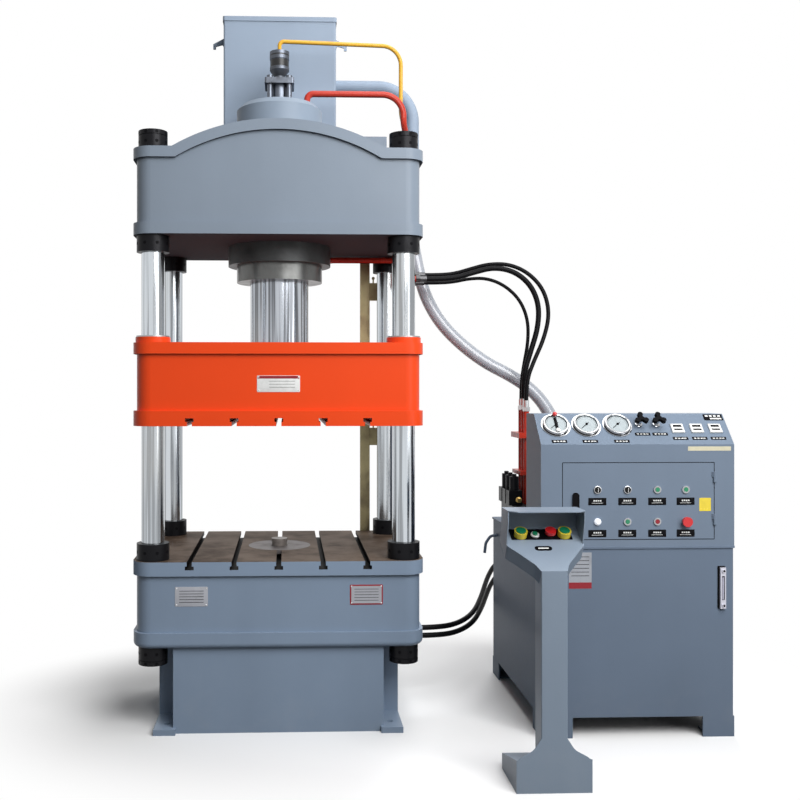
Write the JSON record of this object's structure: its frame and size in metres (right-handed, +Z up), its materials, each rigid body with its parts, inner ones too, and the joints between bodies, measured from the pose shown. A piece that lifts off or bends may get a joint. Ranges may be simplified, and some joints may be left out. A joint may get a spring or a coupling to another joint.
{
  "type": "hydraulic press",
  "caption": "Upright four-column hydraulic press with an orange slide, a rear filling tank, a separate hydraulic power unit with sloping gauge panel, and a two-hand control stand.",
  "frame": {"origin": "centre of the four anchor holes of the press, on the floor", "axes": "+X to the operator's right towards the power unit, +Y to the back, +Z up along the ram"},
  "size_m": [2.568, 1.8118, 3.3429],
  "materials": {
    "frame_paint": "satin blue-grey machine enamel",
    "unit_paint": "satin blue-grey machine enamel",
    "slide_paint": "satin orange machine enamel",
    "table_steel": "machined steel under preserving oil",
    "machined_steel": "machined steel",
    "hard_chrome": "polished hard chrome",
    "black_steel": "blackened steel",
    "yellow_paint": "gloss enamel",
    "red_paint": "gloss enamel",
    "rail_paint": "zinc-passivated steel",
    "zinc_steel": "zinc-plated steel",
    "bright_chrome": "bright chrome plate",
    "black_plastic": "matt moulding",
    "white_plastic": "smooth moulding",
    "green_plastic": "smooth moulding",
    "red_plastic": "smooth moulding",
    "yellow_plastic": "smooth moulding",
    "hose_clear": "clear reinforced hose",
    "hose_black": "smooth rubber cover"
  },
  "bodies": {
    "frame": {"base_plinth": "frame_paint", "bed": "frame_paint", "table_plate": "table_steel", "crown": "frame_paint", "columns": "hard_chrome", "column_nuts": "black_steel", "main_cylinder": "frame_paint", "cylinder_gland": "machined_steel", "ejector_ring": "machined_steel", "ejector_cylinder": "frame_paint", "prefill_valve": "zinc_steel", "pilot_valve": "machined_steel", "filling_tank": "unit_paint", "tank_lid": "unit_paint", "filling_pipe": "frame_paint", "pilot_pipe": "yellow_paint", "pressure_pipe": "red_paint", "return_pipe": "red_paint", "switch_rail": "rail_paint", "oil_tank": "unit_paint", "oil_tank_cover": "unit_paint", "panel_box": "unit_paint", "control_gear": "black_plastic", "pressure_gauges": "bright_chrome", "panel_fittings": "white_plastic", "pump_motor": "unit_paint", "valve_block": "black_steel", "riser_pipes": "red_paint", "level_gauge": "black_plastic", "control_stand": "unit_paint", "stand_collars": "yellow_plastic", "hose_fittings": "zinc_steel", "clear_hose": "hose_clear", "pilot_hose": "hose_black", "pressure_hose": "hose_black", "return_hose": "hose_black", "lower_hose_upper": "hose_black", "lower_hose_lower": "hose_black"},
    "slide": {"slide_block": "slide_paint", "slide_plate": "slide_paint", "slide_bushes": "machined_steel", "ram": "hard_chrome"},
    "ejector": {"ejector_rod": "machined_steel"},
    "door": {"cabinet_door": "unit_paint", "door_bezels": "bright_chrome", "signal_lamp": "white_plastic"},
    "handle": {"door_handle": "black_plastic"},
    "left_knob": {"valve_knob_left": "black_plastic"},
    "right_knob": {"valve_knob_right": "black_plastic"},
    "left_selector": {"selector_left": "black_plastic"},
    "right_selector": {"selector_right": "black_plastic"},
    "upper_left_green": {"green_button_upper_left": "green_plastic"},
    "upper_right_green": {"green_button_upper_right": "green_plastic"},
    "lower_green": {"green_button_lower": "green_plastic"},
    "lower_red": {"red_button": "red_plastic"},
    "panel_stop": {"panel_stop_button": "red_plastic"},
    "left_palm": {"palm_button_left": "green_plastic"},
    "right_palm": {"palm_button_right": "green_plastic"},
    "stand_start": {"stand_start_button": "green_plastic"},
    "stand_stop": {"stand_stop_button": "red_plastic"}
  },
  "joints": [
    {"name": "slide_travel", "type": "slide", "parent": "frame", "child": "slide", "axis": [0, 0, 1], "range_m": [-0.38, 0.275]},
    {"name": "ejector_travel", "type": "slide", "parent": "frame", "child": "ejector", "axis": [0, 0, 1], "range_m": [-0.033, 0.12]},
    {"name": "door_hinge", "type": "hinge", "parent": "frame", "child": "door", "pos_m": [1.846, -0.525, 1], "axis": [0, 0, 1], "range_deg": [0, 110]},
    {"name": "handle_turn", "type": "hinge", "parent": "door", "child": "handle", "pos_m": [1.252, -0.52, 1.023], "axis": [0, 1, 0], "range_deg": [0, 90]},
    {"name": "left_knob_turn", "type": "hinge", "parent": "frame", "child": "left_knob", "pos_m": [1.547, -0.4487, 1.31812], "axis": [0, -0.7386, 0.6741], "continuous": true},
    {"name": "right_knob_turn", "type": "hinge", "parent": "frame", "child": "right_knob", "pos_m": [1.623, -0.4487, 1.31812], "axis": [0, -0.7386, 0.6741], "continuous": true},
    {"name": "left_selector_turn", "type": "hinge", "parent": "door", "child": "left_selector", "pos_m": [1.345, -0.52, 1.049], "axis": [0, 1, 0], "range_deg": [-45, 45]},
    {"name": "right_selector_turn", "type": "hinge", "parent": "door", "child": "right_selector", "pos_m": [1.473, -0.52, 1.049], "axis": [0, 1, 0], "range_deg": [-45, 45]},
    {"name": "upper_left_green_press", "type": "slide", "parent": "door", "child": "upper_left_green", "axis": [0, 1, 0], "range_m": [0, 0.003], "stiffness_N_per_m": 500, "springref_m": -0.002},
    {"name": "upper_right_green_press", "type": "slide", "parent": "door", "child": "upper_right_green", "axis": [0, 1, 0], "range_m": [0, 0.003], "stiffness_N_per_m": 500, "springref_m": -0.002},
    {"name": "lower_green_press", "type": "slide", "parent": "door", "child": "lower_green", "axis": [0, 1, 0], "range_m": [0, 0.003], "stiffness_N_per_m": 500, "springref_m": -0.002},
    {"name": "lower_red_press", "type": "slide", "parent": "door", "child": "lower_red", "axis": [0, 1, 0], "range_m": [0, 0.003], "stiffness_N_per_m": 500, "springref_m": -0.002},
    {"name": "panel_stop_press", "type": "slide", "parent": "door", "child": "panel_stop", "axis": [0, 1, 0], "range_m": [0, 0.003]},
    {"name": "left_palm_press", "type": "slide", "parent": "frame", "child": "left_palm", "axis": [0, 0.5174, -0.8557], "range_m": [0, 0.005], "stiffness_N_per_m": 800, "springref_m": -0.004},
    {"name": "right_palm_press", "type": "slide", "parent": "frame", "child": "right_palm", "axis": [0, 0.5174, -0.8557], "range_m": [0, 0.005], "stiffness_N_per_m": 800, "springref_m": -0.004},
    {"name": "stand_start_press", "type": "slide", "parent": "frame", "child": "stand_start", "axis": [0, 0.5174, -0.8557], "range_m": [0, 0.003], "stiffness_N_per_m": 500, "springref_m": -0.003},
    {"name": "stand_stop_press", "type": "slide", "parent": "frame", "child": "stand_stop", "axis": [0, 0.5174, -0.8557], "range_m": [0, 0.003]}
  ]
}
